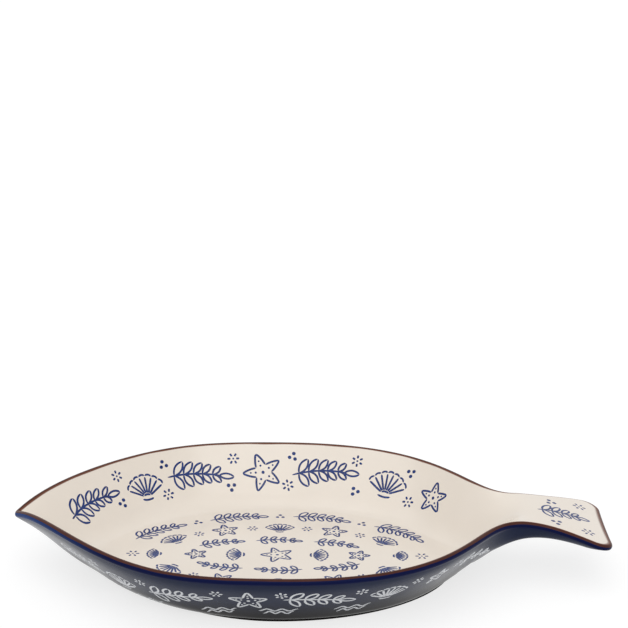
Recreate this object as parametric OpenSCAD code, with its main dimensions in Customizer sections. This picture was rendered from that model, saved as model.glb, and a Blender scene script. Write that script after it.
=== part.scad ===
// Fish-shaped serving platter in glazed stoneware: a boat-like bowl with a pointed nose,
// a flat flared tail to lift it by, a low foot, and coats of glaze over the clay.
// Millimetres, +Z up. X runs from the nose (-X) to the tail (+X), and z = 0 is the table.

/* [Plan of the rim] */
// Whole length, from the nose to the end of the tail
length = 390; // [370:1:410]
// Whole width across the belly
width = 222; // [206:1:236]
// Distance from the nose back to the widest place
belly_back = 176.5; // [162:0.5:188]
// Angle between the centre line and each side at the nose
nose_angle = 54; // [50:0.5:58]
// Radius of the nose, measured on the middle of the rim
nose_r = 3; // [2.6:0.1:4]
// How strongly the side keeps its direction on leaving the nose
nose_pull = 125; // [112:1:130]
// How far the side runs straight in front of the widest place
belly_front = 69.5; // [55:0.5:85]
// How far the side runs straight behind the widest place
belly_rear = 122; // [110:1:134]
// How far the side runs straight in front of the neck
neck_lead = 36; // [30:1:45]

/* [Tail] */
// Length of the tail, from the neck to its end
tail_length = 58; // [52:0.5:63]
// Width at the neck
neck_width = 49.6; // [44:0.2:56]
// Width across the tail's corners
tail_width = 71.4; // [66:0.2:80]
// Angle at which the tail's sides flare out
tail_flare = 18; // [14:1:24]
// Radius of the tail's corners
tail_corner_r = 10; // [7:0.1:12]
// How far the end of the tail is hollowed in
tail_hollow = 0.5; // [0.2:0.1:3]
// Thickness of the tail at the neck
tail_root_t = 14; // [11:0.1:16]
// Thickness of the tail at its end
tail_t = 6.2; // [5.6:0.1:9]
// How far the end of the tail hangs below the rim
tail_drop = 13; // [2:0.1:15]

/* [Heights and wall] */
// Height of the rim above the table at the belly
height = 45.2; // [42:0.1:52]
// Thickness of the wall, which the rim rounds off
wall_t = 4.6; // [4:0.1:5.4]
// Thickness of the floor
floor_t = 6; // [5:0.1:8]
// How far the rim rises on its way from the belly to the nose
nose_rise = 3.2; // [0:0.1:4.4]
// Length over which the rim rises
nose_rise_length = 65; // [50:1:84]
// How far the rim then dips at the nose
nose_drop = 10.6; // [0:0.1:12]
// Length over which the rim dips at the nose
nose_drop_length = 14.4; // [10:0.1:18]
// Slope of the wall just below the rim
wall_slope = 50; // [46:1:54]
// How far the outer wall swells out below the rim
swell = 2.4; // [0:0.1:3]

/* [Floor and saddle] */
// Distance in from the rim to the flat floor at the belly
floor_inset = 39; // [36:0.5:44]
// Distance from the nose back to the flat floor
floor_nose_inset = 55; // [51:1:62]
// Distance from the neck forward to the flat floor
floor_neck_inset = 39; // [35:1:44]
// Distance in front of the neck where the inside starts to climb to the tail
climb_start = 42; // [38:1:48]
// Distance in front of the neck where the outside starts to climb to the tail
climb_start_outside = 33.5; // [29:0.5:37]
// Distance in front of the neck where both reach the level of the tail, less than 0 being behind the neck
climb_end = -8; // [-12:0.5:4]

/* [Foot] */
// Height of the foot
foot_h = 3; // [2:0.1:5]
// Width of the foot's ring
foot_w = 6; // [4:0.5:10]
// Distance in from the rim to the foot at the belly
foot_inset = 34; // [31:0.5:38]
// Distance from the nose back to the foot
foot_nose_inset = 56.5; // [50:0.5:60]
// Distance from the neck forward to the foot
foot_neck_inset = 43; // [37:0.5:47]

/* [Glaze] */
// Thickness of the glaze on level ground
glaze_t = 0.5; // [0.3:0.05:0.8]
// Turn round the bowl's rim where the brown band starts, 90 being the crown and 180 the widest line
band_start = 54; // [48:1:80]
// Turn round the bowl's rim where the brown band ends outside
band_end = 143; // [130:1:165]
// Turn round the tail's edge where the brown band ends outside
band_tail_end = 165; // [140:1:172]
// Bare clay left between the blue glaze and the foot
foot_clear = 0.5; // [0.3:0.1:2]

/* [Hidden] */

// Plan: the middle line of the rim, drawn for +Y and mirrored
rim_r = wall_t / 2;
x_nose = rim_r + nose_r - length / 2;
x_belly = belly_back - length / 2;
x_neck = length / 2 - tail_length;
y_belly = width / 2 - rim_r;
y_neck = neck_width / 2 - rim_r;
corner_r = tail_corner_r - rim_r;
x_corner = length / 2 - tail_corner_r;
y_corner = tail_width / 2 - tail_corner_r;
tail_pull = tail_length / 3;
nose_start = [x_nose - nose_r * sin(nose_angle), nose_r * cos(nose_angle)];
tail_side_end = [x_corner - corner_r * sin(tail_flare), y_corner + corner_r * cos(tail_flare)];
front_side = [
    nose_start,
    nose_start + nose_pull * [cos(nose_angle), sin(nose_angle)],
    [x_belly - belly_front, y_belly],
    [x_belly, y_belly]
];
rear_side = [
    [x_belly, y_belly],
    [x_belly + belly_rear, y_belly],
    [x_neck - neck_lead, y_neck],
    [x_neck, y_neck]
];
tail_side = [
    [x_neck, y_neck],
    [x_neck + tail_pull, y_neck],
    tail_side_end - tail_pull * [cos(tail_flare), sin(tail_flare)],
    tail_side_end
];

// Number of steps along each stretch of the plan
nose_steps = 2;
front_steps = 12;
rear_steps = 16;
tail_steps = 5;
corner_steps = 4;
end_steps = 3;
neck_at = nose_steps + front_steps + rear_steps;
corner_at = neck_at + tail_steps;
end_at = corner_at + corner_steps;
last = end_at + end_steps;
// Share of the rear side that looks to the floor, the rest looking to the middle of the saddle
rear_to_floor = 0.7;
// Where the middle lines of the tail's sides and corners end, as shares of its length
tail_middle = 0.45;
corner_middle = 0.52;
end_middle = 0.6;

function bezier(p, t) =
    p[0] * pow(1 - t, 3) + 3 * p[1] * t * pow(1 - t, 2) + 3 * p[2] * t * t * (1 - t) + p[3] * pow(t, 3);
function bezier_way(p, t) =
    3 * ((p[1] - p[0]) * pow(1 - t, 2) + 2 * (p[2] - p[1]) * t * (1 - t) + (p[3] - p[2]) * t * t);
function left_of(v) = [-v[1], v[0]] / norm(v);
function mix(a, b, t) = a + (b - a) * t;
function eased(a, b, x) = let (t = min(1, max(0, (x - a) / (b - a)))) t * t * (3 - 2 * t);

// Along the plan at step i: which stretch, and how far along it from 0 to 1
function along(i) =
    i < nose_steps ? [0, i / nose_steps]
    : i < nose_steps + front_steps ? [1, (i - nose_steps) / front_steps]
    : i <= neck_at ? [2, (i - nose_steps - front_steps) / rear_steps]
    : i < corner_at ? [3, (i - neck_at) / tail_steps]
    : i <= end_at ? [4, (i - corner_at) / corner_steps]
    : [5, (i - end_at) / end_steps];

// Outward direction of the rim at step i
function outward(i) = let (s = along(i)[0], t = along(i)[1])
    s == 0 ? let (a = 180 - t * (90 - nose_angle)) [cos(a), t == 0 ? 0 : sin(a)]
    : s == 1 ? left_of(bezier_way(front_side, t))
    : s == 2 ? left_of(bezier_way(rear_side, t))
    : s == 3 ? left_of(bezier_way(tail_side, t))
    : s == 4 ? let (a = mix(90 + tail_flare, 0, t)) [cos(a), sin(a)]
    : [1, 0];

// Middle of the rim at step i
function rim_middle(i) = let (s = along(i)[0], t = along(i)[1])
    s == 0 ? [x_nose, 0] + nose_r * outward(i)
    : s == 1 ? bezier(front_side, t)
    : s == 2 ? bezier(rear_side, t)
    : s == 3 ? bezier(tail_side, t)
    : s == 4 ? [x_corner, y_corner] + corner_r * outward(i)
    : [x_corner + corner_r - tail_hollow * (1 - pow(1 - t, 2)), y_corner * (1 - t)];

// Outline of the floor or the foot, a lens with rounded tips, at turn a from 0 at the nose to 180
// Insets are from the nose, the belly and the neck; a tip is drawn out further by a higher power of the sine
floor_powers = [1.25, 1.25];
foot_powers = [1.7, 1.15];
function lens(insets, powers, a) =
    let (x0 = insets[0] - length / 2, x1 = x_neck - insets[2], half_width = width / 2 - insets[1])
    let (side = a == 0 || a == 180 ? 0 : half_width * pow(sin(a), a < 90 ? powers[0] : powers[1]))
    [(x0 + x1) / 2 - (x1 - x0) / 2 * cos(a), side];
floor_insets = [floor_nose_inset, floor_inset, floor_neck_inset];
function foot_insets(more) = [foot_nose_inset + more, foot_inset + more, foot_neck_inset + more];

// Where the line inward from step i ends: on a lens under the bowl, and on the centre line from there back
function inner_end(i, insets, powers) = let (s = along(i)[0], t = along(i)[1])
    s < 2 ? lens(insets, powers, 90 * i / (nose_steps + front_steps))
    : s == 2 && t <= rear_to_floor ? lens(insets, powers, 90 + 90 * t / rear_to_floor)
    : s == 2 ? [x_neck - insets[2] * (1 - t) / (1 - rear_to_floor), 0]
    : s == 3 ? [x_neck + tail_length * tail_middle * t, 0]
    : s == 4 ? [x_neck + tail_length * mix(tail_middle, corner_middle, t), 0]
    : [x_neck + tail_length * mix(corner_middle, end_middle, t), 0];

// Heights: the crown of the rim, and how much of the bowl's depth there is at x
droop_power = 1.5;
function crown(x) =
    height + nose_rise * exp(-pow((x + length / 2) / nose_rise_length, 2))
    - nose_drop * exp(-max(0, x + length / 2) / nose_drop_length)
    - tail_drop * pow(max(0, (x - x_neck) / tail_length), droop_power);
function bowl_share(x, start) = 1 - eased(x_neck - start, x_neck - climb_end, x);

// Share of a wall's depth reached at share f of its run: straight at the wall's slope, then curved level
least_steep = 1.07;
most_steep = 1.36;
function fall(f, run, depth) =
    let (steep = min(most_steep, max(least_steep, tan(wall_slope) * run / depth)), straight = 2 / steep - 1)
    f < straight ? steep * f : 1 - steep * pow(1 - f, 2) / (2 * (1 - straight));

// Where the rounded rim runs into the outer wall: its turn, its distance in from the widest line
// and its depth below the crown
under_turn = 270 - wall_slope;
under_edge = rim_r * (1 - sin(wall_slope));
under_drop = rim_r * (1 + cos(wall_slope));
lip_glaze = glaze_t * cos(wall_slope);
floor_z = foot_h + floor_t;
under_z = foot_h - glaze_t;
// Share of the tail's half width over which its underside rounds up to the edge
tail_round = 0.2;
// Share of the outer wall's run over which it swells out below the rim
swell_share = 0.08;

// Shares of the way inward at which the inner and outer surfaces are worked out
top_rows = [0, 0.15, 0.3, 0.45, 0.6, 0.72, 0.82, 0.91, 1];
under_rows = [0, 0.05, 0.12, 0.22, 0.4, 0.6, 0.78, 0.86, 0.93, 1];

function on_plan(p, z) = [p[0], p[1], z];

// Turn of the inner shoulder, where the rounded rim runs into the wall, or into the flat top of the tail
function shoulder(i) = 90 - wall_slope * bowl_share(rim_middle(i)[0], climb_start);

// One point of the inner surface: step i, share f of the way inward, and how far under the glaze
function top_point(i, f, under) =
    let (a = shoulder(i), edge_drop = rim_r * (1 - sin(a)))
    let (edge = rim_middle(i) - rim_r * cos(a) * outward(i))
    let (end = inner_end(i, floor_insets, floor_powers), p = mix(edge, end, f))
    let (rim_z = crown(mix(rim_middle(i)[0], end[0], f)), full = rim_z - floor_z - edge_drop)
    let (depth = bowl_share(p[0], climb_start) * full * fall(f, norm(end - edge), full))
    on_plan(p, rim_z - edge_drop - depth - under);

// One point of the outer surface, in the same way
function under_point(i, f, within) =
    let (edge = rim_middle(i) + (rim_r - under_edge) * outward(i))
    let (end = inner_end(i, foot_insets(-foot_clear), foot_powers), p = mix(edge, end, f))
    let (rim_z = crown(mix(rim_middle(i)[0], end[0], f)), full = rim_z - under_z)
    let (bulge = swell * (1 - exp(-f / swell_share)) * pow(1 - f, 2))
    let (bowl_depth = mix(under_drop, full, fall(f, norm(end - edge), full - under_drop)) + bulge)
    let (slab = mix(tail_root_t, tail_t, min(1, max(0, (p[0] - x_neck) / tail_length))))
    let (tail_depth = mix(under_drop, slab, 1 - pow(1 - min(1, f / tail_round), 2)))
    on_plan(p, rim_z - mix(tail_depth, bowl_depth, bowl_share(p[0], climb_start_outside)) + within);

// One point of the rounded rim at turn a: 90 is the crown and 180 the widest line outside
function lip_point(i, a, r) =
    let (m = rim_middle(i))
    on_plan(m - r * cos(a) * outward(i), crown(m[0]) - rim_r + r * sin(a));
band_steps = 4;
// Least turn between the inner shoulder and the brown band
least_lead = 6;
widest_turn = 180;
function band_from(i) = max(band_start, shoulder(i) + least_lead);
function band_to(i) = mix(band_tail_end, band_end, bowl_share(rim_middle(i)[0], climb_start));
function band_turn(i, k) = mix(band_from(i), band_to(i), k / band_steps);
function outer_turns(i) =
    [band_to(i), (band_to(i) + widest_turn) / 2, widest_turn, (widest_turn + under_turn) / 2];

// Columns of points around the section at step i
function reversed(v) = [for (k = [len(v) - 1:-1:0]) v[k]];
function inner_skin(i, under, r) =
    concat([for (f = reversed(top_rows)) top_point(i, f, under)], [lip_point(i, band_turn(i, 0), r)]);
function band_skin(i, r) = [for (k = [0:band_steps]) lip_point(i, band_turn(i, k), r)];
function outer_skin(i, within, r) =
    concat([for (a = outer_turns(i)) lip_point(i, a, r)], [for (f = under_rows) under_point(i, f, within)]);
core_r = rim_r - lip_glaze;
function core_band(i) = [for (k = [1:band_steps - 1]) lip_point(i, band_turn(i, k), core_r)];
function clay(i) = concat(inner_skin(i, glaze_t, core_r), core_band(i), outer_skin(i, glaze_t, core_r));

// A solid from columns of points drawn for +Y, mirrored to -Y. Each column runs from the middle out and back.
// A sheet is closed across the middle at both ends of its columns, and a ring is closed column by column.
module mirrored_solid(columns, ring) {
    n = len(columns);
    rows = len(columns[0]);
    function here(i, r) = i * rows + r;
    function there(i, r) = (n + i) * rows + r;
    function off_middle(i, r) = columns[i][r][1] > 0 || columns[i + 1][r][1] > 0;
    points = concat(
        [for (c = columns) each c],
        [for (c = columns) each [for (p = c) [p[0], -p[1], p[2]]]]
    );
    sides = [for (i = [0:n - 2], r = [0:rows - 2]) each [
        [here(i, r), here(i, r + 1), here(i + 1, r + 1), here(i + 1, r)],
        [there(i, r), there(i + 1, r), there(i + 1, r + 1), there(i, r + 1)]
    ]];
    end = rows - 1;
    across = [for (i = [0:n - 2]) each [
        if (!ring && off_middle(i, 0)) [here(i, 0), here(i + 1, 0), there(i + 1, 0), there(i, 0)],
        if (!ring && off_middle(i, end)) [here(i, end), there(i, end), there(i + 1, end), here(i + 1, end)]
    ]];
    around = [for (i = [0:n - 2]) each [
        if (ring && off_middle(i, 0)) [here(i, end), here(i, 0), here(i + 1, 0), here(i + 1, end)],
        if (ring && off_middle(i, 0)) [there(i, end), there(i + 1, end), there(i + 1, 0), there(i, 0)]
    ]];
    all_rows = [0:rows - 1];
    front_cut = columns[0][end - 1][1] == 0 ? []
        : [concat([for (r = all_rows) here(0, end - r)], [for (r = all_rows) there(0, r)])];
    rear_cut = columns[n - 1][end - 1][1] == 0 ? []
        : [concat([for (r = all_rows) here(n - 1, r)], [for (r = all_rows) there(n - 1, end - r)])];
    // Each four-sided face is split along its shorter diagonal, so that touching solids are split alike
    function diagonal(q, k) = norm(points[q[k]] - points[q[k + 2]]);
    function split(q) = diagonal(q, 0) < diagonal(q, 1)
        ? [[q[0], q[1], q[2]], [q[0], q[2], q[3]]]
        : [[q[0], q[1], q[3]], [q[1], q[2], q[3]]];
    halves = [for (q = concat(sides, around)) each split(q)];
    polyhedron(points, concat(halves, across, front_cut, rear_cut), convexity = 6);
}

module foot_plan(more) {
    steps = 48;
    half = [for (k = [0:steps]) lens(foot_insets(more), foot_powers, 180 * k / steps)];
    polygon(concat(half, [for (k = [steps - 1:-1:1]) [half[k][0], -half[k][1]]]));
}

// Clay of the bowl: floor, wall and the core of the rim, cut off square at the neck
module bowl() {
    color("#b9a68c") mirrored_solid([for (i = [0:neck_at]) clay(i)], false);
}

// Clay of the tail, a slab joined on at the neck
module tail_handle() {
    color("#b9a68c") mirrored_solid([for (i = [neck_at:last]) clay(i)], false);
}

// Bare clay ring that the bowl stands on
module foot_ring() {
    color("#a8957c") linear_extrude(foot_h) difference() {
        foot_plan(0);
        foot_plan(foot_w);
    }
}

// Cream glaze over the inside of the bowl and the top of the tail
module cream_glaze() {
    color("#e8ded2") mirrored_solid([for (i = [0:last])
        concat(inner_skin(i, 0, rim_r), reversed(inner_skin(i, glaze_t, core_r)))], false);
}

// Dark blue glaze over the outside of the bowl and the underside of the tail
module blue_glaze() {
    color("#2a3044") mirrored_solid([for (i = [0:last])
        concat(reversed(outer_skin(i, glaze_t, core_r)), outer_skin(i, 0, rim_r))], true);
}

// Dark blue glaze on the underside, inside the foot
module base_glaze() {
    color("#2a3044") translate([0, 0, under_z]) linear_extrude(glaze_t) foot_plan(foot_w + foot_clear);
}

// Brown band painted over the rim, all the way round
module rim_band() {
    color("#57382d") mirrored_solid([for (i = [0:last])
        concat(band_skin(i, rim_r), reversed(band_skin(i, core_r)))], true);
}

bowl();
tail_handle();
foot_ring();
cream_glaze();
blue_glaze();
base_glaze();
rim_band();
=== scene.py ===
import bpy
import numpy as np
from mathutils import Matrix


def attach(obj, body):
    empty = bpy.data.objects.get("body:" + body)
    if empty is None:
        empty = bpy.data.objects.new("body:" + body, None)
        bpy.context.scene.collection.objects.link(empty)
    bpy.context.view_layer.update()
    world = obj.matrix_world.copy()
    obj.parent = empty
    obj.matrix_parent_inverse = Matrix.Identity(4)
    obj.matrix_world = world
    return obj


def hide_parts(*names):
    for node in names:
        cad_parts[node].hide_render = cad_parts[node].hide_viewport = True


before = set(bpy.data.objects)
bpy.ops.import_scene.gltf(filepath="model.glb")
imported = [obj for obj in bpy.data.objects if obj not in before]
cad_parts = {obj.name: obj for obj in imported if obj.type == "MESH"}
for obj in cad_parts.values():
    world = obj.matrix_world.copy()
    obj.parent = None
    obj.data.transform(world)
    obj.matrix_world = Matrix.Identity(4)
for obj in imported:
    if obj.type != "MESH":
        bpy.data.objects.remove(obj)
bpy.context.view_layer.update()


# The clay body: the bowl's floor and wall, the core of its rim, and the tail's slab joined on at the neck.
# Stoneware, pressed in a mould and fired in one piece. Glaze covers it but for a hair line round the foot.
# Lengths are in millimetres, u counts stretches of the rim from the nose, and f is a share of the way inward.

length, width, x_neck = 390.0, 222.0, 137.0
wall_t, height, floor_z, foot_h = 4.6, 45.2, 9.0, 3.0
nose_angle, nose_r, nose_pull = np.radians(54.0), 3.0, 125.0
belly_back, belly_front, belly_rear, neck_lead = 176.5, 69.5, 122.0, 36.0
tail_length, neck_width, tail_width = 58.0, 49.6, 71.4
tail_flare, tail_corner_r, tail_hollow, tail_drop = np.radians(18.0), 10.0, 0.5, 13.0
slab_t, slab_swell, slab_reach, tail_round = 5.8, 9.7, 33.5, 0.35
nose_rise, nose_rise_length, nose_drop, nose_drop_length = 3.08, 65.0, 10.6, 14.4
wall_slope, swell, swell_share = np.radians(50.0), 2.4, 0.08
floor_insets, foot_insets = np.array([55.0, 39.0, 39.0]), np.array([56.5, 34.0, 43.0])
floor_powers, foot_powers = (1.25, 1.25), (1.7, 1.15)
climb_inside, climb_outside = (88.75, 151.25), (95.2, 142.0)
inner_steep, outer_steep, most_steep, rear_steep = 1.22, 1.07, 1.36, 1.11
rear_to_floor, rear_start, rear_ramp = 0.7, 1.6, 0.8
nose_turn, tail_spine, tail_droop = 90 / 7, np.array([0.45, 0.52, 0.6]), 1.5
ease_start, ease_stop, ease_ramp, ease_span = 1.9, 4.6, 0.6, 34.0
end_power, keel_power, slab_lead = 6, 3, 30.0
glaze_t, band_start, band_end, band_tail_end, foot_clear = 0.5, 54.0, 137.0, 150.0, 0.5

rim_r = wall_t / 2
lip_glaze = glaze_t * np.cos(wall_slope)
under_z, under_turn = foot_h - glaze_t, 270 - np.degrees(wall_slope)
x_nose, x_belly = rim_r + nose_r - length / 2, belly_back - length / 2
y_belly, y_neck = width / 2 - rim_r, neck_width / 2 - rim_r
corner_r = tail_corner_r - rim_r
corner = np.array([length / 2 - tail_corner_r, tail_width / 2 - tail_corner_r])
nose_way = np.array([np.cos(nose_angle), np.sin(nose_angle)])
tail_way = np.array([np.cos(tail_flare), np.sin(tail_flare)])
nose_start = np.array([x_nose, 0]) + nose_r * np.array([-nose_way[1], nose_way[0]])
tail_side_end = corner + corner_r * np.array([-tail_way[1], tail_way[0]])
front_side = [
    nose_start,
    nose_start + nose_pull * nose_way,
    [x_belly - belly_front, y_belly],
    [x_belly, y_belly],
]
rear_side = [
    [x_belly, y_belly],
    [x_belly + belly_rear, y_belly],
    [x_neck - neck_lead, y_neck],
    [x_neck, y_neck],
]
tail_side = [
    [x_neck, y_neck],
    [x_neck + tail_length / 3, y_neck],
    tail_side_end - tail_length / 3 * tail_way,
    tail_side_end,
]


def mix(a, b, t):
    """The place at share t of the way from a to b."""
    return a + (b - a) * t


def lens(insets, powers, turn):
    """Outline of the floor or the foot at turns in degrees, 0 at the nose, 180 at the tail end and on to 360.
    Along the platter it goes as a cosine; across, as a sine raised to a power that draws each tip out."""
    nose_in, belly_in, neck_in = np.moveaxis(np.asarray(insets, float), -1, 0)
    x0, x1 = nose_in - length / 2, x_neck - neck_in
    cosine, sine = np.cos(np.radians(turn)), np.round(np.sin(np.radians(turn)), 12)
    across = np.abs(sine) ** np.where(cosine > 0, *powers) * np.sign(sine)
    return np.stack([(x0 + x1) / 2 - (x1 - x0) / 2 * cosine, (width / 2 - belly_in) * across], -1)


def bezier(ends_and_pulls, t):
    """A cubic curve from its first point to its last, pulled towards the two between, and the directions to
    its left."""
    a, b, c, d = (np.asarray(p, float) for p in ends_and_pulls)
    t = t[..., None]
    place = a * (1 - t) ** 3 + 3 * b * t * (1 - t) ** 2 + 3 * c * t ** 2 * (1 - t) + d * t ** 3
    way = (b - a) * (1 - t) ** 2 + 2 * (c - b) * t * (1 - t) + (d - c) * t ** 2
    left = np.stack([-way[..., 1], way[..., 0]], -1)
    return place, left / np.linalg.norm(left, axis=-1, keepdims=True)


def arc(centre, radius, a):
    """Points on a circle and the directions out of it, at angles in radians."""
    out = np.stack([np.cos(a), np.round(np.sin(a), 12)], -1)
    return np.asarray(centre) + radius * out, out


def rim(u):
    """Middle line of the rim on the +Y side and its outward direction, from u = 0 at the nose to 6 at the
    tail's end. Whole numbers part its stretches: nose arc, front curve, rear curve, tail's side, corner arc
    and hollowed end."""
    part = np.clip(np.floor(u), 0, 5).astype(int)
    t = u - part
    end = np.stack([corner[0] + corner_r - tail_hollow * (1 - (1 - t) ** 2), corner[1] * (1 - t)], -1)
    stretches = [
        arc([x_nose, 0], nose_r, np.pi - t * (np.pi / 2 - nose_angle)),
        bezier(front_side, t),
        bezier(rear_side, t),
        bezier(tail_side, t),
        arc(corner, corner_r, (np.pi / 2 + tail_flare) * (1 - t)),
        (end, np.broadcast_to([1.0, 0.0], end.shape)),
    ]
    pick = part[None, ..., None]
    return tuple(np.take_along_axis(np.stack([s[k] for s in stretches]), pick, 0)[0] for k in (0, 1))


def inner_end(u, insets, powers):
    """Where the line inward from the rim ends: on the lens under the bowl, and behind it on the middle."""
    turn = np.interp(u, [0, 1, 2, 2 + rear_to_floor], [0, nose_turn, 90, 180])
    tip = x_neck - insets[2]
    back = [tip, x_neck, *(x_neck + tail_spine * tail_length)]
    middle = np.interp(u, [2 + rear_to_floor, 3, 4, 5, 6], back)
    on_middle = np.stack([middle, np.zeros_like(middle)], -1)
    return np.where((u > 2 + rear_to_floor)[..., None], on_middle, lens(insets, powers, turn))


def ease(t):
    """A share t made level at both ends: three times its square less twice its cube."""
    return t * t * (3 - 2 * t)


def smooth_end(u, insets, powers):
    """The same end as its mean over a span of the rim, which grows by the neck as an eased step, so that no
    crease shows."""
    near = np.clip((u - ease_start) / ease_ramp, 0, 1) * np.clip((ease_stop - u) / ease_ramp, 0, 1)
    gone, span = np.interp(u, walk, walked), ease_span * ease(near)
    shifted = [np.interp(gone + span * k, walked, walk) for k in np.linspace(-1, 1, 17)]
    return np.mean([inner_end(w, insets, powers) for w in shifted], axis=0)


def crown(x):
    """Height of the rim's crown: level at the belly, rising to the nose as a bell curve, then dipping at its
    tip as an exponential, and drooping along the tail as a power."""
    from_nose = np.maximum(0, x + length / 2)
    rise = nose_rise * np.exp(-(from_nose / nose_rise_length) ** 2)
    dip = nose_drop * np.exp(-from_nose / nose_drop_length)
    return height + rise - dip - tail_drop * np.maximum(0, (x - x_neck) / tail_length) ** tail_droop


def climbed(x, climb):
    """Share of a climb that lies behind at x, from 0 where it starts to 1 where it ends."""
    return np.clip((x - climb[0]) / (climb[1] - climb[0]), 0, 1)


def bowl_share(x, climb):
    """Share of the bowl's depth at x: all of it before the climb, none after it, and along it a step of the
    fifth power."""
    t = climbed(x, climb)
    return 1 - t ** 3 * (10 - 15 * t + 6 * t * t)


def fall(f, run, depth, least, most):
    """Share of a wall's depth at share f of its run: straight at the wall's slope, held between limits by a
    hyperbolic tangent, then a parabola to level."""
    centre, reach = (most + least) / 2, (most - least) / 2
    steep = centre + reach * np.tanh((np.tan(wall_slope) * run / depth - centre) / reach)
    straight = 2 / steep - 1
    return np.where(f < straight, steep * f, 1 - steep * (1 - f) ** 2 / (2 * (1 - straight)))


def shoulder(u):
    """Turn round the rim, in degrees, at which its inner side runs into the wall or the flat top of the tail:
    90 less the wall's slope times the bowl's share."""
    return 90 - np.degrees(wall_slope) * bowl_share(rim(u)[0][..., 0], climb_inside)


def lip(u, turn, r):
    """The rounded rim: a circle of radius r about its middle line, at turns of 90 on top and 180 outside."""
    middle, out = rim(u)
    a = np.radians(turn)
    plan = middle - (r * np.cos(a))[..., None] * out
    return np.concatenate([plan, (crown(middle[..., 0]) - rim_r + r * np.sin(a))[..., None]], -1)


def inside(u, f, under=0.0):
    """The inner surface at share f of the way inward: the crown's height less the fall of the wall."""
    middle, out = rim(u)
    a = np.radians(shoulder(u))
    edge = middle - (rim_r * np.cos(a))[..., None] * out
    edge_drop = rim_r * (1 - np.sin(a))
    end = smooth_end(u, floor_insets, floor_powers)
    plan = mix(edge, end, f[..., None])
    rim_z = crown(mix(middle[..., 0], end[..., 0], f))
    full = rim_z - floor_z - edge_drop
    wall = full * fall(f, np.linalg.norm(end - edge, axis=-1), full, inner_steep, most_steep)
    depth = bowl_share(plan[..., 0], climb_inside) * wall
    return np.concatenate([plan, (rim_z - edge_drop - depth - under)[..., None]], -1)


def outside(u, f, within=0.0):
    """The outer surface at share f of the way inward: a wall that swells a little below the rim and levels at
    the foot, less steep at the rear, eased into a slab that thins along the tail as an exponential, and along
    the middle risen from the foot as a parabola."""
    middle, out = rim(u)
    edge = middle + rim_r * np.sin(wall_slope) * out
    eased = smooth_end(u, foot_insets - foot_clear, foot_powers)
    to_end = (inner_end(u, foot_insets - foot_clear, foot_powers) - eased) * f[..., None] ** end_power
    plan = mix(edge, eased, f[..., None]) + to_end
    rim_z = crown(mix(middle[..., 0], eased[..., 0], f) + to_end[..., 0])
    full, under_drop = rim_z - under_z, rim_r * (1 + np.cos(wall_slope))
    bulge = swell * (1 - np.exp(-f / swell_share)) * (1 - f) ** 2
    most = mix(most_steep, rear_steep, ease(np.clip((u - rear_start) / rear_ramp, 0, 1)))
    fallen = fall(f, np.linalg.norm(eased - edge, axis=-1), full - under_drop, outer_steep, most)
    bowl_depth = mix(under_drop, full, fallen) + bulge
    past_neck = np.maximum(plan[..., 0] - x_neck, -slab_lead)
    slab = slab_t + slab_swell * np.exp(-past_neck / slab_reach)
    tail_depth = mix(under_drop, slab, 1 - (1 - np.minimum(1, f / tail_round)) ** 2)
    keel = (1 - climbed(plan[..., 0], climb_outside)) ** 2
    share = mix(bowl_share(plan[..., 0], climb_outside), keel, f ** keel_power)
    depth = mix(tail_depth, bowl_depth, share)
    return np.concatenate([plan, (rim_z - depth + within)[..., None]], -1)


stretch_steps = (8, 72, 84, 24, 14, 10)
stretch_columns = [np.linspace(k, k + 1, n + 1)[:-1] for k, n in enumerate(stretch_steps)]
half_columns = np.concatenate([*stretch_columns, [6.0]])
columns = np.concatenate([half_columns, half_columns[-2:0:-1]])
side = np.concatenate([np.ones(len(half_columns)), -np.ones(len(half_columns) - 2)])
walk = np.linspace(0, 6, 12001)
walked = np.concatenate([[0], np.cumsum(np.linalg.norm(np.diff(rim(walk)[0], axis=0), axis=1))])
round_rim = np.interp(columns, walk, walked) * side % (2 * walked[-1])


def wander(at, reach, seed):
    """A slow wavering along the rim, left by the brush: the mean of eight sine waves times twice a reach."""
    waves = np.arange(5, 41, 5) + seed
    phases = np.sin(waves * 12.9898 + seed) * np.pi * 3
    return reach * np.sin(np.pi * at[:, None] / walked[-1] * waves + phases).mean(-1) * 2


# Turns round the rim where the brown band starts and ends: it is wider at the nose and at the tail's end
band_waver, band_off_wall = 4.0, 6.0
nose_inward, nose_outward, end_outward = 4.0, 6.0, 16.0
at_nose, at_end = np.exp(-(columns / 1.2) ** 4), np.clip(columns - 4, 0, 1)
on_bowl = bowl_share(rim(columns)[0][:, 0], climb_inside)
inner_edge = band_start - nose_inward * at_nose + wander(round_rim, band_waver, 1)
outer_edge = mix(band_tail_end, band_end, on_bowl) + nose_outward * at_nose + end_outward * at_end
band_inner = np.maximum(inner_edge, shoulder(columns) + band_off_wall)
band_outer = outer_edge + wander(round_rim, band_waver, 2)


def rows_of(surface, rows, *more):
    """A surface on all columns round the rim at the given rows, those of the -Y half mirrored."""
    u, row = np.broadcast_arrays(columns[:, None], rows)
    return surface(u, row, *more) * np.stack([np.ones_like(side), side, np.ones_like(side)], -1)[:, None, :]


def lip_rows(start, end, steps, under):
    """Rows of the rounded rim between two turns given for each column, at a depth under the glaze."""
    turn = mix(start[:, None], end[:, None], np.linspace(0, 1, steps + 1))
    return rows_of(lip, turn, rim_r - lip_glaze * under / glaze_t)


low_rows, high_rows = np.linspace(1, 0.6, 21), np.linspace(0.56, 0.04, 14)
top_rows = np.concatenate([low_rows, high_rows, [0.022, 0.012, 0.005, 0]])[None, :]
under_rows = np.concatenate([np.linspace(0, 0.3, 19)[:-1], np.linspace(0.3, 1, 29)])[None, :]


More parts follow.
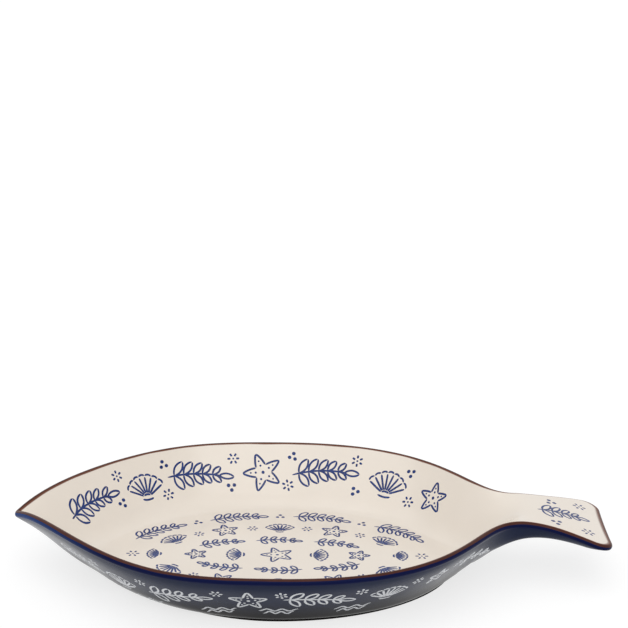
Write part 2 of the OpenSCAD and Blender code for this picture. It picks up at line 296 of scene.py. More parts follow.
def top_skin(under):
    """Rows from the middle of the floor out to the brown band, at a depth under the surface of the glaze."""
    lip_part = lip_rows(shoulder(columns), band_inner, 4, under)
    return np.concatenate([rows_of(inside, top_rows, under), lip_part[:, 1:]], axis=1)


def under_skin(under):
    """Rows from the brown band down to the foot, at a depth under the surface of the glaze."""
    turn_part = lip_rows(band_outer, np.full(len(columns), under_turn), 10, under)
    return np.concatenate([turn_part[:, :-1], rows_of(outside, under_rows, under)], axis=1)


def band_skin(under):
    """Rows across the brown band, at a depth under the surface of the glaze."""
    return lip_rows(band_inner, band_outer, 12, under)


def grid_faces(ids, round_columns, round_rows):
    """Four-sided faces of a grid of point numbers, closed from last column or row to first if asked."""
    if round_columns:
        ids = np.concatenate([ids, ids[:1]])
    if round_rows:
        ids = np.concatenate([ids, ids[:, :1]], axis=1)
    return np.stack([ids[:-1, :-1], ids[:-1, 1:], ids[1:, 1:], ids[1:, :-1]], -1).reshape(-1, 4)


def across_middle(ids):
    """Four-sided faces that close a ring of points across the centre line, from each to its mirror image."""
    half = len(ids) // 2 + 1
    near, far = ids[np.arange(half)], ids[-np.arange(half)]
    return np.stack([near[:-1], near[1:], far[1:], far[:-1]], -1)


def weld(points, quads):
    """Merges points that coincide, cuts four-sided faces in two, drops what folds away, and turns faces
    outwards, which makes the volume they enclose positive. Also says which of the points were kept."""
    keys = np.round(points * 1e5).astype(np.int64)
    _, first, where = np.unique(keys, axis=0, return_index=True, return_inverse=True)
    quads = where.reshape(-1)[quads]
    tris = np.concatenate([quads[:, [0, 1, 2]], quads[:, [0, 2, 3]]])
    tris = tris[(tris[:, 0] != tris[:, 1]) & (tris[:, 1] != tris[:, 2]) & (tris[:, 2] != tris[:, 0])]
    corners = points[first][tris]
    volume = np.einsum("ij,ij->i", corners[:, 0], np.cross(corners[:, 1], corners[:, 2])).sum()
    return points[first], tris if volume > 0 else tris[:, ::-1], first


metres_per_mm = 0.001


def make_piece(name, points, tris, material, sharp=40.0):
    """A mesh object from points in millimetres, smooth but for edges sharper than an angle in degrees."""
    mesh = bpy.data.meshes.new(name)
    mesh.from_pydata(points * metres_per_mm, [], tris.tolist())
    mesh.polygons.foreach_set("use_smooth", np.ones(len(tris), bool))
    mesh.set_sharp_from_angle(angle=np.radians(sharp))
    mesh.materials.append(material)
    piece = bpy.data.objects.new(name, mesh)
    bpy.context.scene.collection.objects.link(piece)
    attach(piece, "root")
    return piece


def sheet(name, grid, material):
    """A closed solid from columns that run out from the middle and back, closed across it at both ends."""
    ids = np.arange(grid[..., 0].size).reshape(grid.shape[:2])
    lids = [across_middle(ids[:, 0])[:, ::-1], across_middle(ids[:, -1])]
    points, tris, kept = weld(grid.reshape(-1, 3), np.concatenate([grid_faces(ids, True, False), *lids]))
    return make_piece(name, points, tris, material), kept


def colour(code):
    """Turns an sRGB hex code into linear red, green, blue and alpha."""
    c = np.array([int(code[k:k + 2], 16) for k in (1, 3, 5)]) / 255
    return (*np.where(c <= 0.04045, c / 12.92, ((c + 0.055) / 1.055) ** 2.4), 1.0)


def add(tree, kind, values={}, links={}, **properties):
    """Adds a node of that kind with its properties, the values of its inputs and the sockets linked to it."""
    made = tree.nodes.new(kind)
    for name, value in properties.items():
        setattr(made, name, value)
    for name, value in values.items():
        made.inputs[name].default_value = value
    for name, source in links.items():
        tree.links.new(source, made.inputs[name])
    return made


def new_material(name):
    """A material with only a shader and its output, and the tree that they are in."""
    material = bpy.data.materials.new(name)
    material.use_nodes = True
    material.node_tree.nodes.clear()
    shader = add(material.node_tree, "ShaderNodeBsdfPrincipled")
    add(material.node_tree, "ShaderNodeOutputMaterial", links={"Surface": shader.outputs["BSDF"]})
    return material, material.node_tree, shader


# Bare fired stoneware: buff, matt and gritty, with darker iron grains about half a millimetre across
stoneware, tree, shader = new_material("fired stoneware")
place = add(tree, "ShaderNodeTexCoord").outputs["Object"]
grain = add(tree, "ShaderNodeTexNoise", {"Scale": 1000 / 0.6, "Detail": 2.0}, {"Vector": place})
cloud = add(tree, "ShaderNodeTexNoise", {"Scale": 1000 / 14, "Detail": 3.0}, {"Vector": place})
iron = add(tree, "ShaderNodeMapRange", {"From Min": 0.62, "From Max": 0.72}, {"Value": grain.outputs["Fac"]})
buff = add(tree, "ShaderNodeMix", {6: colour("#b09a7c"), 7: colour("#c6b296")},
           {0: cloud.outputs["Fac"]}, data_type="RGBA")
speckled = add(tree, "ShaderNodeMix", {7: colour("#7b6248")},
               {0: iron.outputs[0], 6: buff.outputs[2]}, data_type="RGBA")
grit = add(tree, "ShaderNodeBump", {"Strength": 0.5, "Distance": 0.0001}, {"Height": grain.outputs["Fac"]})
tree.links.new(speckled.outputs[2], shader.inputs["Base Color"])
tree.links.new(grit.outputs["Normal"], shader.inputs["Normal"])
shader.inputs["Roughness"].default_value = 0.85
shader.inputs["IOR"].default_value = 1.5

core = np.concatenate([top_skin(glaze_t), band_skin(glaze_t)[:, 1:-1], under_skin(glaze_t)], axis=1)
clay_body, _ = sheet("clay_body", core, stoneware)
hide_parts("bowl", "tail_handle")


# The foot: a low ring that the bowl stands on, its lower edges rounded with a sponge.
# Part of the same stoneware, its sides painted brown black as shade, and only the standing face wiped clean.

foot_w, foot_edge_r = 6.0, 0.8

# Foot: brown black painted shade on its sides, paling to gritty buff clay on the lowest tenth of a millimetre
shade_painted_stoneware, tree, shader = new_material("stoneware with painted shade")
place = add(tree, "ShaderNodeTexCoord").outputs["Object"]
grain = add(tree, "ShaderNodeTexNoise", {"Scale": 1000 / 0.6, "Detail": 2.0}, {"Vector": place})
cloud = add(tree, "ShaderNodeTexNoise", {"Scale": 1000 / 9, "Detail": 3.0}, {"Vector": place})
# Painted shade: the near black of the foot's sides
painted_foot_shade = add(tree, "ShaderNodeMix", {6: colour("#080607"), 7: colour("#120d0f")},
            {0: cloud.outputs["Fac"]}, data_type="RGBA")
clay = add(tree, "ShaderNodeMix", {6: colour("#9c8468"), 7: colour("#c6b296")},
           {0: grain.outputs["Fac"]}, data_type="RGBA")
up = add(tree, "ShaderNodeSeparateXYZ", links={"Vector": place})
wiped = add(tree, "ShaderNodeMapRange", {"From Min": 0.00003, "From Max": 0.0001}, {"Value": up.outputs["Z"]})
whole = add(tree, "ShaderNodeMix", links={0: wiped.outputs[0], 6: clay.outputs[2], 7: painted_foot_shade.outputs[2]},
            data_type="RGBA")
tree.links.new(whole.outputs[2], shader.inputs["Base Color"])
shader.inputs["Roughness"].default_value = 0.7
shader.inputs["IOR"].default_value = 1.5
shader.inputs["Specular IOR Level"].default_value = 0.05

bend = np.radians(np.linspace(0, 90, 5))
growing, shrinking = foot_edge_r * (1 - np.cos(bend)), foot_edge_r * (1 - np.sin(bend))
foot_out = np.concatenate([[0], growing, foot_w - shrinking, [foot_w]])
foot_up = np.concatenate([[foot_h], shrinking, growing, [foot_h]])
turns = np.linspace(0, 360, 361)[:-1]
ring = lens(foot_insets + foot_out[None, :, None], foot_powers, turns[:, None])
ring = np.concatenate([ring, np.broadcast_to(foot_up[None, :, None], ring.shape[:2] + (1,))], -1)
ids = np.arange(ring[..., 0].size).reshape(ring.shape[:2])
points, tris, _ = weld(ring.reshape(-1, 3), grid_faces(ids, True, True))
foot = make_piece("foot", points, tris, shade_painted_stoneware)
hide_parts("foot_ring")


# The inside glaze: one cream coat over the bowl's floor and wall, over the saddle and the top of the tail.
# A glossy tin-white glaze on stoneware, poured in and swirled, so it lies thickest on the floor.

def put_values(piece, name, values):
    """A number on every point of a piece, for its material to read."""
    piece.data.attributes.new(name, "FLOAT", "POINT").data.foreach_set("value", values)


# Cream glaze: even and glossy, faintly clouded over 60 mm, with an orange peel 9 mm across, and stained brown
# where the rim's colour bled into it
cream, tree, shader = new_material("cream stoneware glaze")
place = add(tree, "ShaderNodeTexCoord").outputs["Object"]
cloud = add(tree, "ShaderNodeTexNoise", {"Scale": 1000 / 60, "Detail": 2.0}, {"Vector": place})
peel = add(tree, "ShaderNodeTexNoise", {"Scale": 1000 / 9, "Detail": 1.0}, {"Vector": place})
body = add(tree, "ShaderNodeMix", {6: colour("#e2d8cb"), 7: colour("#e9e0d5")},
           {0: cloud.outputs["Fac"]}, data_type="RGBA")
bled = add(tree, "ShaderNodeAttribute", attribute_name="bled_brown")
whole = add(tree, "ShaderNodeMix", {7: colour("#6c4231")},
            {0: bled.outputs["Fac"], 6: body.outputs[2]}, data_type="RGBA")
bump = add(tree, "ShaderNodeBump", {"Strength": 0.2, "Distance": 0.0003}, {"Height": peel.outputs["Fac"]})
tree.links.new(whole.outputs[2], shader.inputs["Base Color"])
tree.links.new(bump.outputs["Normal"], shader.inputs["Normal"])
shader.inputs["Roughness"].default_value = 0.16
shader.inputs["IOR"].default_value = 1.5

inner = top_skin(0.0)
both_sides = np.concatenate([inner, top_skin(glaze_t)[:, ::-1]], axis=1)
inside_glaze, kept = sheet("inside_glaze", both_sides, cream)
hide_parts("cream_glaze")
to_band = np.linalg.norm(np.diff(inner[:, ::-1], axis=1, prepend=inner[:, -1:]), axis=-1).cumsum(1)[:, ::-1]
bleed_reach = 0.4 + 0.4 * at_nose + 1.2 * at_end
bleed = np.exp(-(to_band / bleed_reach[:, None]) ** 4)
put_values(inside_glaze, "bled_brown", np.concatenate([bleed, bleed[:, ::-1]], axis=1).reshape(-1)[kept])


# The outside glaze: one dark blue coat from the rim down to the foot and under the tail.
# A cobalt and iron glaze, glossy, dipped; it runs thin and clear just below the brown band.

def ring_of(name, grid, material):
    """A closed solid from columns that each close on themselves, open to its mirror image where they meet the
    middle."""
    ids = np.arange(grid[..., 0].size).reshape(grid.shape[:2])
    closing = grid_faces(ids[:, [-1, 0]], True, False)
    closing = closing[np.abs(grid.reshape(-1, 3)[closing, 1]).max(1) > 1e-6]
    points, tris, kept = weld(grid.reshape(-1, 3), np.concatenate([grid_faces(ids, True, False), closing]))
    return make_piece(name, points, tris, material), kept


# Dark blue glaze: deep and glossy, clear cobalt in a narrow strip below the brown band, brightest at the nose
# as a painted highlight, then greyed blue mottled over 20 mm, and brown black low down as painted shade
navy, tree, shader = new_material("dark blue stoneware glaze")
place = add(tree, "ShaderNodeTexCoord").outputs["Object"]
mottle = add(tree, "ShaderNodeTexNoise", {"Scale": 1000 / 20, "Detail": 4.0}, {"Vector": place})
peel = add(tree, "ShaderNodeTexNoise", {"Scale": 1000 / 9, "Detail": 1.0}, {"Vector": place})
below = add(tree, "ShaderNodeAttribute", attribute_name="below_band")
axes = add(tree, "ShaderNodeSeparateXYZ", links={"Vector": place})
past_strip = add(tree, "ShaderNodeMapRange", {"From Min": 1.8, "From Max": 5.0},
                 {"Value": below.outputs["Fac"]}, interpolation_type="SMOOTHSTEP")
# Painted shade: the wall is brown black up to 4 mm above the table, blending into the blue by 26 mm
above_painted_shade = add(tree, "ShaderNodeMapRange", {"From Min": 0.004, "From Max": 0.026},
                 {"Value": axes.outputs["Z"]}, interpolation_type="SMOOTHSTEP")
wall_blue = add(tree, "ShaderNodeMix", {6: colour("#171f36"), 7: colour("#232b44")},
                {0: mottle.outputs["Fac"]}, data_type="RGBA")
with_painted_low_shade = add(tree, "ShaderNodeMix", {6: colour("#0c090a")},
               {0: above_painted_shade.outputs[0], 7: wall_blue.outputs[2]}, data_type="RGBA")
# Painted highlight: the cobalt strip a brighter blue at the nose, fading out 70 mm behind its tip
off_nose_highlight = add(tree, "ShaderNodeMapRange", {"From Min": -0.185, "From Max": -0.125},
               {"Value": axes.outputs["X"]})
strip = add(tree, "ShaderNodeMix", {6: colour("#16346c"), 7: colour("#07103a")},
            {0: off_nose_highlight.outputs[0]}, data_type="RGBA")
whole = add(tree, "ShaderNodeMix",
            links={0: past_strip.outputs[0], 6: strip.outputs[2], 7: with_painted_low_shade.outputs[2]}, data_type="RGBA")
bump = add(tree, "ShaderNodeBump", {"Strength": 0.2, "Distance": 0.0003}, {"Height": peel.outputs["Fac"]})
tree.links.new(whole.outputs[2], shader.inputs["Base Color"])
tree.links.new(bump.outputs["Normal"], shader.inputs["Normal"])
shader.inputs["Roughness"].default_value = 0.18
shader.inputs["IOR"].default_value = 1.5
shader.inputs["Specular IOR Level"].default_value = 0.055

outer = under_skin(0.0)
both_sides = np.concatenate([outer, under_skin(glaze_t)[:, ::-1]], axis=1)
outside_glaze, kept = ring_of("outside_glaze", both_sides, navy)
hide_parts("blue_glaze")
down = np.linalg.norm(np.diff(outer, axis=1, prepend=outer[:, :1]), axis=-1).cumsum(1)
put_values(outside_glaze, "below_band", np.concatenate([down, down[:, ::-1]], axis=1).reshape(-1)[kept])


# The base: the same dark blue glaze inside the foot, which keeps it off the table and off the kiln shelf.
# A thin flat coat under the floor, wiped back a hair from the bare ring.

far_below = 40.0
plate = lens(foot_insets + foot_w + foot_clear, foot_powers, turns)
base_grid = np.stack([np.column_stack([plate, np.full(len(turns), z)]) for z in (under_z, foot_h)], axis=1)
base_coat, kept = sheet("base_coat", base_grid, navy)
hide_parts("base_glaze")
put_values(base_coat, "below_band", np.full(len(kept), far_below))


# The band: brown painted over the rounded rim, all the way round from the nose to the tail and back.
# Iron oxide in water, brushed on before firing, so it sinks into the glaze and its edges waver.

# Iron brown: reddish, streaked along 7 mm, paler where the brush ran thin at its inner edge
umber, tree, shader = new_material("iron brown underglaze")
place = add(tree, "ShaderNodeTexCoord").outputs["Object"]
streak = add(tree, "ShaderNodeTexNoise", {"Scale": 1000 / 7, "Detail": 4.0}, {"Vector": place})
over = add(tree, "ShaderNodeAttribute", attribute_name="over_band")
past_edge = add(tree, "ShaderNodeMapRange", {"From Min": 0.0, "From Max": 0.4},
                {"Value": over.outputs["Fac"]}, interpolation_type="SMOOTHSTEP")
body = add(tree, "ShaderNodeMix", {6: colour("#3c1c16"), 7: colour("#502c23")},
           {0: streak.outputs["Fac"]}, data_type="RGBA")
whole = add(tree, "ShaderNodeMix", {6: colour("#6c4231")},
            {0: past_edge.outputs[0], 7: body.outputs[2]}, data_type="RGBA")
tree.links.new(whole.outputs[2], shader.inputs["Base Color"])
shader.inputs["Roughness"].default_value = 0.3
shader.inputs["IOR"].default_value = 1.5
shader.inputs["Specular IOR Level"].default_value = 0.1

both_sides = np.concatenate([band_skin(0.0), band_skin(glaze_t)[:, ::-1]], axis=1)
brown_band, kept = ring_of("brown_band", both_sides, umber)
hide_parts("rim_band")
share = np.linspace(0, 1, both_sides.shape[1] // 2)
put_values(brown_band, "over_band", np.tile(np.concatenate([share, share[::-1]]), len(columns))[kept])


# The inside decoration: sprigs, shells, sea stars, sparks and dots in blue on the wall, floor and tail.
# Cobalt underglaze, drawn with a fine brush and fired under a clear coat, so it lies nearly flush.

def brush(path, half_width, blunt=8.0):
    """A stroke in the plane: a flat-topped bead carried along a path, its half width drawn in at both ends as
    the root of 1 less a power. The last of each point's three numbers is its lift, from 0 at the edge to 1 on
    top and -1 below."""
    along = np.linspace(-1, 1, len(path))
    way = np.gradient(path, axis=0)
    left = np.stack([-way[:, 1], way[:, 0]], -1) / np.linalg.norm(way, axis=1, keepdims=True)
    swollen = np.sqrt(1 - np.abs(along) ** blunt)[:, None]
    across, lift = np.array([-1, -0.8, 0.8, 1, 0]), np.array([0, 1, 1, 0, -1.0])
    places = path[:, None, :] + left[:, None, :] * (half_width * swollen * across)[..., None]
    return np.concatenate([places, (swollen * lift)[..., None]], -1)


def bow(start, end, sag):
    """Points from start to end on a parabola that stands off the straight line by sag, to the left."""
    start, end = np.asarray(start, float), np.asarray(end, float)
    t = np.linspace(0, 1, max(7, int(np.linalg.norm(end - start) / 0.9) + 1))[:, None]
    way = (end - start) / np.linalg.norm(end - start)
    return mix(start, end, t) + np.array([-way[1], way[0]]) * 4 * sag * t * (1 - t)


def polar(r, degrees):
    """The point at a radius and an angle."""
    return r * np.array([np.cos(np.radians(degrees)), np.sin(np.radians(degrees))])


def dot(centre, r):
    """A round spot, set down with the tip of the brush."""
    return [brush(bow(np.add(centre, [-r, 0]), np.add(centre, [r, 0]), 0), r, 2.0)]


def leaf(root, degrees, long, broad, line):
    """A pointed leaf in outline, from its root in a direction, of a length and a breadth."""
    tip = np.add(root, polar(long, degrees))
    return [brush(bow(root, tip, broad / 2), line), brush(bow(root, tip, -broad / 2), line)]


def sprig(long, pairs, leaf_long, line):
    """A gently bent stem with pairs of leaves that grow smaller towards its tip, and one leaf at the end."""
    stem = bow([-long / 2, 0], [long / 2 - leaf_long * 0.6, 0], long * 0.04)
    strokes = [brush(stem, line)] + leaf(stem[-3], -6, leaf_long * 0.9, leaf_long * 0.34, line)
    for share in np.linspace(0.14, 0.86, pairs):
        root = stem[int(share * (len(stem) - 1))]
        for way in (1, -1):
            size = leaf_long * (1.1 - 0.45 * share)
            strokes += leaf(root, way * (58 - 14 * share), size, size * 0.42, line)
    return strokes


def shell(r, line):
    """A fan shell: ribs from its hinge, a scalloped edge, an arc across and two small ears."""
    hinge = np.array([0, -r * 0.5])
    edge = [hinge + polar(r, a) for a in np.linspace(150, 30, 8)]
    strokes = [brush(bow(a, b, r * 0.07), line) for a, b in zip(edge[:-1], edge[1:])]
    strokes += [brush(bow(hinge + 0.2 * (p - hinge), mix(hinge, p, 0.96), 0), line) for p in edge]
    strokes += [brush(bow(hinge + polar(r * 0.2, 150), hinge + polar(r * 0.2, 30), r * 0.06), line)]
    ears = hinge + [-r * 0.3, -r * 0.03], hinge + [r * 0.3, -r * 0.03]
    return strokes + [brush(bow(*ears, -r * 0.06), line)]


def sea_star(r, line):
    """A five-armed star in outline with a line of dots down each arm."""
    strokes = dot([0, 0], line * 1.6)
    for a in np.arange(90, 450, 72):
        tip = polar(r, a)
        for way in (1, -1):
            strokes += [brush(bow(polar(r * 0.4, a + 36 * way), tip, r * 0.04 * way), line)]
        strokes += dot(polar(r * 0.36, a), line * 1.1) + dot(polar(r * 0.6, a), line * 0.9)
    return strokes


def spark(r, line):
    """Six short strokes round a dot."""
    rays = [brush(bow(polar(r * 0.42, a), polar(r, a), 0), line) for a in range(0, 360, 60)]
    return dot([0, 0], line) + rays


def three_dots(r):
    """Three dots in a triangle."""
    return [s for a in (90, 210, 330) for s in dot(polar(r * 1.7, a), r)]


def rotated(flat, degrees):
    """Points in the plane turned about its origin, with their lift kept."""
    c, s = np.cos(np.radians(degrees)), np.sin(np.radians(degrees))
    return np.concatenate([flat[..., :2] @ np.array([[c, s], [-s, c]]), flat[..., 2:]], -1)


def skin_place(skin, facing, far, f, way):
    """A map from the plane to a skin of the bowl, round a place at a distance along the rim and a share of
    the way inward. Near it the plane's sides run along the rim and up the wall, as measured on the skin."""
    def at(s, share):
        return skin(np.interp(s, walked, walk), np.asarray(share, float)) * np.array([1, way, 1])

    along = (at(np.array(far + 1.0), f) - at(np.array(far - 1.0), f)) / 2
    inward = (at(np.array(far), f + 0.01) - at(np.array(far), f - 0.01)) / 0.02
    right = along / np.linalg.norm(along)
    up = -(inward - inward @ right * right)
    up = up / np.linalg.norm(up)
    back = np.linalg.inv(np.array([[along @ right, inward @ right], [along @ up, inward @ up]])).T

    def to_skin(flat):
        moved = flat @ back
        s, share = far + moved[..., 0], f + moved[..., 1]
        sideways = at(s + 0.2, share) - at(s - 0.2, share)
        normal = np.cross(sideways, at(s, share + 0.004) - at(s, share - 0.004))
        normal = normal / np.linalg.norm(normal, axis=-1, keepdims=True)
        return at(s, share), normal * np.sign(normal[..., 2:]) * facing

    return to_skin, way * facing


def flat_place(x, y, height_at):
    """A map from the plane to a nearly level surface whose height depends on x alone, round a place on it."""
    def to_skin(flat):
        spot = flat + np.array([x, y])
        slope = (height_at(spot[..., 0] + 0.1) - height_at(spot[..., 0] - 0.1)) / 0.2
        normal = np.stack([-slope, np.zeros_like(slope), np.ones_like(slope)], -1)
        return np.concatenate([spot, height_at(spot[..., 0])[..., None]], -1), normal

    return to_skin, 1


def garland_place(inset, share):
    """A map from the plane to the floor, bent to run along a lens at an inset from the floor's edge."""
    loop = lens(floor_insets + inset, floor_powers, np.linspace(0, 360, 1441))
    gone = np.concatenate([[0], np.cumsum(np.linalg.norm(np.diff(loop, axis=0), axis=1))])

    def at(s):
        return np.stack([np.interp(s, gone, loop[:, k], period=gone[-1]) for k in (0, 1)], -1)

    def to_skin(flat):
        s = share * gone[-1] + flat[..., 0]
        way = at(s + 1) - at(s - 1)
        left = np.stack([-way[..., 1], way[..., 0]], -1) / np.linalg.norm(way, axis=-1, keepdims=True)
        spot = at(s) + left * flat[..., 1:2]
        z = np.full(s.shape + (1,), floor_z)
        normal = np.concatenate([np.zeros_like(spot), np.ones_like(z)], -1)
        return np.concatenate([spot, z], -1), normal

    return to_skin, 1


def lay(motifs, proud):
    """Points and faces of motifs, each laid on its skin at a turn, its beads standing proud by a height."""
    all_points, all_faces, count = [], [], 0
    for strokes, degrees, (to_skin, hand) in motifs:
        for stroke in strokes:
            flat = rotated(stroke, degrees)
            spot, normal = to_skin(flat[..., :2])
            ids = count + np.arange(flat[..., 0].size).reshape(flat.shape[:2])
            faces = grid_faces(ids, False, True)
            all_points.append((spot + normal * flat[..., 2:] * proud).reshape(-1, 3))
            all_faces.append(faces if hand > 0 else faces[:, ::-1])
            count += flat[..., 0].size
    return weld(np.concatenate(all_points), np.concatenate(all_faces))[:2]


# Cobalt blue: strong where the brush was full, paler where it ran dry, with the same gloss as the cream
cobalt, tree, shader = new_material("cobalt underglaze")
place = add(tree, "ShaderNodeTexCoord").outputs["Object"]
load = add(tree, "ShaderNodeTexNoise", {"Scale": 1000 / 6, "Detail": 3.0}, {"Vector": place})
body = add(tree, "ShaderNodeMix", {6: colour("#0a1a52"), 7: colour("#1a3c80")},
           {0: load.outputs["Fac"]}, data_type="RGBA")
tree.links.new(body.outputs[2], shader.inputs["Base Color"])
shader.inputs["Roughness"].default_value = 0.16
shader.inputs["IOR"].default_value = 1.5
shader.inputs["Specular IOR Level"].default_value = 0.3

# Each motif has its distance along the rim, its share of the way inward and its turn in degrees
line, print_proud, print_sharp = 0.75, 0.04, 15.0
wall_motifs = []
for way in (1, -1):
    for far, f, degrees, strokes in (
        (53, 0.38, 5, sprig(45, 5, 11.5, line)),
        (109, 0.38, 0, shell(16, line)),
        (154, 0.36, -6, sprig(47, 5, 12, line)),
        (202, 0.37, 20, sea_star(14.5, line)),
        (249, 0.36, 6, sprig(47, 5, 12, line)),
        (297, 0.38, 0, shell(16.5, line)),
        (335, 0.36, 10, sea_star(11.5, line)),
    ):
        wall_motifs.append((strokes, degrees, skin_place(inside, 1, far, f, way)))
    for far, f in ((86, 0.16), (129, 0.52), (180, 0.18), (222, 0.54), (272, 0.16), (314, 0.52)):
        wall_motifs.append((spark(4.4, line), far, skin_place(inside, 1, far, f, way)))
    for far, f in ((84, 0.5), (127, 0.16), (178, 0.54), (224, 0.16), (274, 0.55), (314, 0.17)):
        wall_motifs.append((three_dots(1.4), far, skin_place(inside, 1, far, f, way)))
points, tris = lay(wall_motifs, print_proud)
make_piece("wall_print", points, tris, cobalt, print_sharp)

fine = line * 0.92


def level(x):
    """The floor's height, the same at every x."""
    return np.full(np.shape(x), floor_z)


floor_motifs = []
for share in (0.085, 0.195, 0.305, 0.415, 0.585, 0.695, 0.805, 0.915):
    floor_motifs.append((sprig(41, 5, 9, fine), 0, garland_place(11, share)))
for share in (0.14, 0.25, 0.36, 0.64, 0.75, 0.86):
    floor_motifs.append((three_dots(1.3), 0, garland_place(11, share)))
for share in (0.07, 0.25, 0.43, 0.57, 0.75, 0.93):
    floor_motifs.append((shell(11, fine), 0, garland_place(30, share)))
for share in (0.16, 0.34, 0.66, 0.84):
    floor_motifs.append((sea_star(9.5, fine), 0, garland_place(30, share)))
for share in (0.115, 0.205, 0.295, 0.385, 0.615, 0.705, 0.795, 0.885):
    floor_motifs.append((spark(3.8, fine), 0, garland_place(30, share)))
for share in (0.12, 0.25, 0.38, 0.62, 0.75, 0.88):
    floor_motifs.append((sprig(32, 4, 7, fine), 0, garland_place(50, share)))
for x, degrees, strokes in (
    (-118, 0, spark(4.5, fine)),
    (-104, 90, shell(8, fine)),
    (-76, 90, sea_star(8, fine)),
    (-50, 90, shell(10, fine)),
    (-22, 90, sea_star(11.5, fine)),
    (6, -90, shell(10, fine)),
    (32, -90, sea_star(8, fine)),
    (60, -90, shell(8, fine)),
    (74, 0, spark(4.5, fine)),
):
    floor_motifs.append((strokes, degrees, flat_place(x, 0, level)))
points, tris = lay(floor_motifs, print_proud)
make_piece("floor_print", points, tris, cobalt, print_sharp)

tail_motifs = [
    (sprig(34, 4, 10.5, line), 0, flat_place(166, 0, crown)),
    (spark(4.6, line), 0, flat_place(180, 20, crown)),
    (spark(4.6, line), 0, flat_place(180, -20, crown)),
    (three_dots(1.5), 20, flat_place(160, 16, crown)),
    (three_dots(1.5), 70, flat_place(160, -16, crown)),
]
points, tris = lay(tail_motifs, print_proud)
make_piece("tail_print", points, tris, cobalt, print_sharp)


# The outside decoration: sprigs, shells, sea stars, sparks and ripples in white round the outer wall.
# White slip trailed over the dark blue before firing, so it stands a hair proud, and greys where it is thin.

def ripples(long, line):
    """Two waves one above the other, fading out at both ends."""
    x = np.linspace(-long / 2, long / 2, int(long / 0.7))
    swing = 1.5 * np.sin(2 * np.pi * x / 9)
    return [brush(np.column_stack([x * s, swing + y]), line, 4.0) for y, s in ((1.9, 1.0), (-1.9, 0.8))]


# White slip: chalky off-white, thin enough in places for the blue under it to grey it
slip, tree, shader = new_material("white slip under glaze")
place = add(tree, "ShaderNodeTexCoord").outputs["Object"]
cover = add(tree, "ShaderNodeTexNoise", {"Scale": 1000 / 5, "Detail": 3.0}, {"Vector": place})
body = add(tree, "ShaderNodeMix", {6: colour("#b4b9c2"), 7: colour("#e4e5e6")},
           {0: cover.outputs["Fac"]}, data_type="RGBA")
tree.links.new(body.outputs[2], shader.inputs["Base Color"])
shader.inputs["Roughness"].default_value = 0.25
shader.inputs["IOR"].default_value = 1.5

thin, slip_proud = line * 0.8, 0.05
outer_motifs = []
for way in (1, -1):
    for far, f, degrees, strokes in (
        (60, 0.36, -5, sprig(42, 4, 11, thin)),
        (106, 0.38, 0, shell(14.5, line)),
        (152, 0.36, 5, sprig(44, 4, 12, line)),
        (198, 0.37, 0, sea_star(12.5, line)),
        (244, 0.36, -5, sprig(44, 4, 12, line)),
        (290, 0.36, 0, shell(14.5, line)),
        (326, 0.3, 0, sea_star(9, line)),
        (364, 0.26, 0, sprig(30, 3, 8, line)),
    ):
        outer_motifs.append((strokes, degrees, skin_place(outside, -1, far, f, way)))
    for far in (84, 127, 178, 219, 270, 308, 344):
        outer_motifs.append((spark(4.2, line), far, skin_place(outside, -1, far, 0.2, way)))
    for far in (84, 127, 178, 219, 270):
        outer_motifs.append((ripples(24, line), 0, skin_place(outside, -1, far, 0.66, way)))
points, tris = lay(outer_motifs, slip_proud)
make_piece("outer_print", points, tris, slip, print_sharp)


# The studio: a pale floor that runs back out of sight, lit evenly, with a soft light above and one in front.

def seen_straight(tree):
    """The socket that gives 1 to rays from the camera, also by gloss or through glass, else 0."""
    path = add(tree, "ShaderNodeLightPath")
    or_gloss = add(tree, "ShaderNodeMath", operation="MAXIMUM",
                   links={0: path.outputs["Is Camera Ray"], 1: path.outputs["Is Glossy Ray"]})
    or_glass = add(tree, "ShaderNodeMath", operation="MAXIMUM",
                   links={0: or_gloss.outputs[0], 1: path.outputs["Is Transmission Ray"]})
    return or_glass.outputs[0]


sweep = 40
sweep_corners = [(-sweep, -sweep, 0), (sweep, -sweep, 0), (sweep, sweep, 0), (-sweep, sweep, 0)]
floor_mesh = bpy.data.meshes.new("floor")
floor_mesh.from_pydata(sweep_corners, [], [(0, 1, 2, 3)])
floor = bpy.data.objects.new("floor", floor_mesh)
bpy.context.scene.collection.objects.link(floor)

# Paper: matt, all but white to the eye with a soft shadow on it, and pale to the light that it throws back up
paper, tree, shader = new_material("pale paper sweep")
seen = seen_straight(tree)
own_white = add(tree, "ShaderNodeMath", {1: 0.74}, {0: seen}, operation="MULTIPLY")
lit_part = add(tree, "ShaderNodeMix", {6: colour("#f6f6f6"), 7: colour("#979797")},
               {0: seen}, data_type="RGBA")
tree.links.new(own_white.outputs[0], shader.inputs["Emission Strength"])
tree.links.new(lit_part.outputs[2], shader.inputs["Base Color"])
shader.inputs["Emission Color"].default_value = (1, 1, 1, 1)
shader.inputs["Roughness"].default_value = 0.9
shader.inputs["Specular IOR Level"].default_value = 0.0
floor_mesh.materials.append(paper)

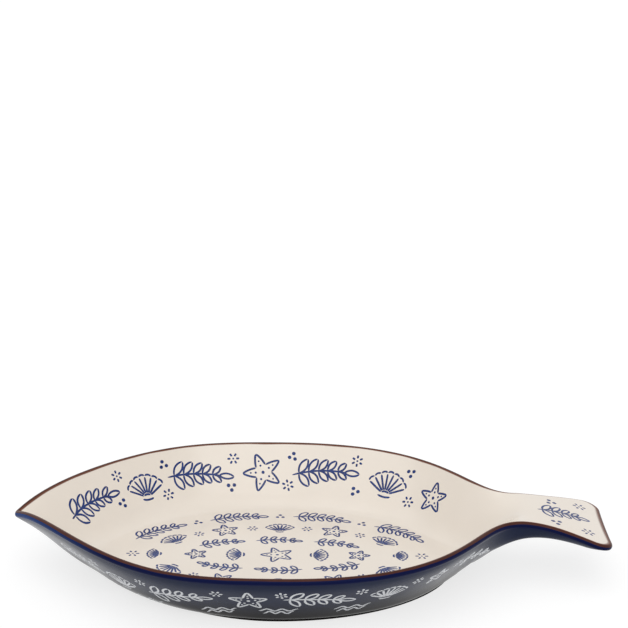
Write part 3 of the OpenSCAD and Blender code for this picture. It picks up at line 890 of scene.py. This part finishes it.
world = bpy.data.worlds.new("studio")
bpy.context.scene.world = world
world.use_nodes = True
tree = world.node_tree
tree.nodes.clear()
glow = add(tree, "ShaderNodeMix", {2: 0.7, 3: 1.0}, {0: seen_straight(tree)}, data_type="FLOAT")
sky = add(tree, "ShaderNodeBackground", {"Color": (1, 1, 1, 1)}, {"Strength": glow.outputs[0]})
add(tree, "ShaderNodeOutputWorld", links={"Surface": sky.outputs["Background"]})


def turned_to(back, roll):
    """The matrix of a light or camera that looks against back, with its sides level, then rolled."""
    back = np.asarray(back, float) / np.linalg.norm(back)
    right = np.cross([0, 0, 1], back)
    right = right / np.linalg.norm(right)
    up = np.cross(back, right)
    sides = [np.cos(roll) * right + np.sin(roll) * up, np.cos(roll) * up - np.sin(roll) * right, back]
    return np.stack(sides, -1)


for name, back, spread, energy in (
    ("overhead", (-0.25, -0.35, 1.0), 70.0, 0.75),
    ("front", (0.3, -1.0, 0.75), 50.0, 0.4),
):
    lamp = bpy.data.lights.new(name, "SUN")
    lamp.angle, lamp.energy = np.radians(spread), energy
    light = bpy.data.objects.new(name, lamp)
    turned = np.eye(4)
    turned[:3, :3] = turned_to(back, 0.0)
    turned[:3, 3] = np.asarray(back) * 2
    light.matrix_world = Matrix(turned.tolist())
    bpy.context.scene.collection.objects.link(light)


# The camera: 1.1 m away and 18 degrees above the table, the platter low in a square picture of 628 pixels.

aim, distance, focal_pixels = np.array([0.000287, 0, 0.177229]), 1.1, 1732.8
azimuth, elevation, roll = -0.0068, 0.3106, 0.0127
sensor, picture = 36.0, 628
level_part = np.cos(elevation)
back = np.array([np.sin(azimuth) * level_part, -np.cos(azimuth) * level_part, np.sin(elevation)])
turned = np.eye(4)
turned[:3, :3] = turned_to(back, roll)
turned[:3, 3] = aim + distance * back
optics = bpy.data.cameras.new("camera")
optics.sensor_width, optics.lens = sensor, sensor * focal_pixels / picture
camera = bpy.data.objects.new("camera", optics)
camera.matrix_world = Matrix(turned.tolist())
bpy.context.scene.collection.objects.link(camera)
bpy.context.scene.camera = camera
bpy.context.scene.view_settings.view_transform = "Standard"
